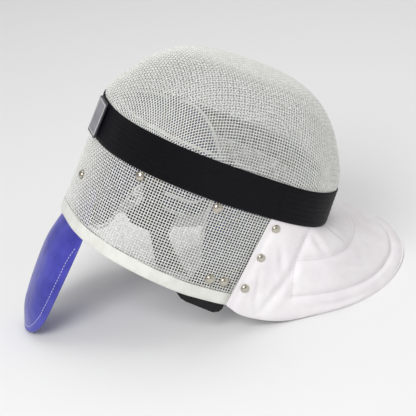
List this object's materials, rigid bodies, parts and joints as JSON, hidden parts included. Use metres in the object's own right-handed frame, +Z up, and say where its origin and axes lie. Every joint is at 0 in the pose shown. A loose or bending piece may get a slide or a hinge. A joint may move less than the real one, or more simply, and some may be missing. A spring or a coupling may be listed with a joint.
{
  "type": "fencing mask",
  "caption": "Fencing mask: wire-mesh face and sides in a vinyl trim, with a black head strap, a quilted white bib, a blue padded back tongue and padded lining.",
  "frame": {"origin": "the middle of the object's box, on the surface that it lies on", "axes": "+X from the back tongue to the chin, +Y the wearer's left, +Z up; the mask lies face up with its chin low"},
  "size_m": [0.4364, 0.2282, 0.2725],
  "materials": {
    "enamelled_mesh": "satin white enamel on steel wire",
    "vinyl_trim": "soft white vinyl with a low sheen",
    "elastic": "woven black elastic webbing",
    "label_rubber": "moulded grey rubber",
    "blue_vinyl": "smooth blue artificial leather",
    "bib_cloth": "quilted white cotton",
    "pad_cloth": "blue tricot over foam",
    "binding_tape": "white woven tape",
    "tab_vinyl": "black artificial leather",
    "nickel": "bright nickel plate"
  },
  "bodies": {
    "root": {"front_mesh": "enamelled_mesh", "side_mesh": "enamelled_mesh", "edge_trim": "vinyl_trim", "head_strap": "elastic", "strap_label": "label_rubber", "tongue": "blue_vinyl", "bib": "bib_cloth", "crown_pad": "pad_cloth", "crown_pad_binding": "binding_tape", "cheek_pad_left": "pad_cloth", "cheek_pad_binding_left": "binding_tape", "jaw_tab_left": "tab_vinyl", "side_strap_left": "elastic", "cheek_pad_right": "pad_cloth", "cheek_pad_binding_right": "binding_tape", "jaw_tab_right": "tab_vinyl", "side_strap_right": "elastic", "rivet_crown": "nickel", "rivet_pad_crown_left": "nickel", "rivet_pad_cheek_left": "nickel", "rivet_tab_front_left": "nickel", "rivet_tab_back_left": "nickel", "rivet_bib_upper_left": "nickel", "rivet_bib_middle_left": "nickel", "rivet_bib_lower_left": "nickel", "rivet_pad_crown_right": "nickel", "rivet_pad_cheek_right": "nickel", "rivet_tab_front_right": "nickel", "rivet_tab_back_right": "nickel", "rivet_bib_upper_right": "nickel", "rivet_bib_middle_right": "nickel", "rivet_bib_lower_right": "nickel"}
  },
  "joints": []
}
